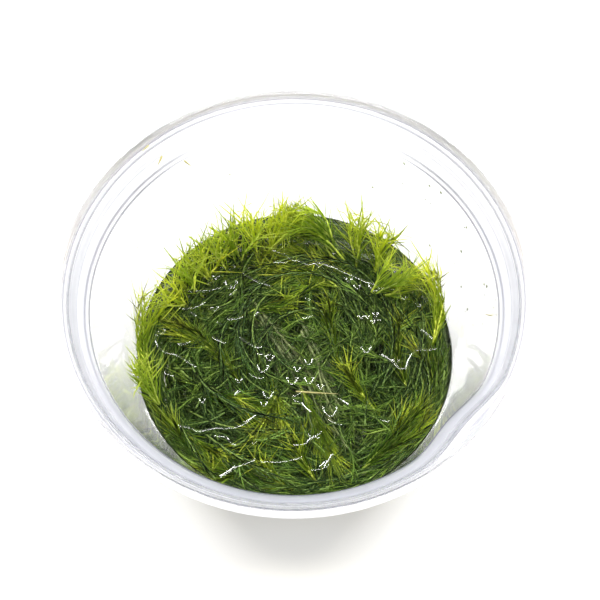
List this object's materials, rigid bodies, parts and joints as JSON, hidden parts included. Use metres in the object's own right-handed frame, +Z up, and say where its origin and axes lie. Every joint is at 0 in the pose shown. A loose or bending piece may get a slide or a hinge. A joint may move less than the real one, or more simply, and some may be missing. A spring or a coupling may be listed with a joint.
{
  "type": "tissue culture cup of stream bogmoss",
  "caption": "Open clear plastic cup with a flanged rim, holding a tangle of needle-leaved stream bogmoss shoots in clear wet gel.",
  "frame": {"origin": "middle of the cup's flat underside", "axes": "+Z up along the cup's axis, +X to the picture's right, -Y towards the picture's front; the finger recess in the rim is at the right of the front"},
  "size_m": [0.1004, 0.1004, 0.052],
  "materials": {
    "cup_plastic": "clear, smooth, slightly frosted at the rim",
    "gel": "clear wet jelly with small bubbles",
    "fresh_leaf": "wet bright yellow-green needle leaves, living tissue and not timber",
    "green_leaf": "wet mid green needle leaves, living tissue and not timber",
    "deep_leaf": "wet dark green needle leaves, living tissue and not timber",
    "old_stem": "dull olive old stems with few leaves, living tissue and not timber"
  },
  "bodies": {
    "root": {"cup": "cup_plastic", "gel": "gel", "shoot_left_wall": "fresh_leaf", "shoot_left_side": "green_leaf", "shoot_left_plume": "fresh_leaf", "shoot_back_1": "green_leaf", "shoot_back_2": "fresh_leaf", "shoot_back_3": "fresh_leaf", "shoot_back_lying_1": "green_leaf", "shoot_back_lying_2": "fresh_leaf", "shoot_back_lying_3": "green_leaf", "shoot_back_right_1": "fresh_leaf", "shoot_back_right_2": "fresh_leaf", "shoot_right_lying": "green_leaf", "shoot_right_wall": "fresh_leaf", "shoot_right_low": "green_leaf", "shoot_star_right": "fresh_leaf", "shoot_star_middle": "fresh_leaf", "shoot_star_upright": "fresh_leaf", "shoot_star_back_1": "fresh_leaf", "shoot_star_back_2": "fresh_leaf", "shoot_star_left": "green_leaf", "shoot_star_front_1": "fresh_leaf", "shoot_star_front_2": "fresh_leaf", "shoot_star_front_left": "fresh_leaf", "shoot_left_middle": "green_leaf", "shoot_inner_1": "deep_leaf", "shoot_inner_2": "deep_leaf", "shoot_inner_3": "deep_leaf", "shoot_inner_4": "deep_leaf", "shoot_inner_5": "deep_leaf", "shoot_inner_6": "deep_leaf", "old_stem_1": "old_stem", "old_stem_2": "old_stem", "old_stem_3": "old_stem", "shoot_front_1": "fresh_leaf", "shoot_front_2": "fresh_leaf", "shoot_front_3": "fresh_leaf", "shoot_plume_1": "green_leaf", "shoot_plume_2": "fresh_leaf", "shoot_edge_1": "green_leaf", "shoot_edge_2": "green_leaf", "shoot_left_back_1": "fresh_leaf", "shoot_left_back_2": "green_leaf", "shoot_left_back_3": "fresh_leaf", "shoot_left_back_4": "green_leaf", "under_low_1": "deep_leaf", "under_low_2": "deep_leaf", "under_low_3": "deep_leaf", "under_low_4": "deep_leaf", "under_low_5": "deep_leaf", "under_low_6": "deep_leaf", "under_mid_1": "deep_leaf", "under_mid_2": "deep_leaf", "under_mid_3": "deep_leaf", "under_mid_4": "deep_leaf", "under_mid_5": "deep_leaf", "under_mid_6": "deep_leaf"}
  },
  "joints": []
}
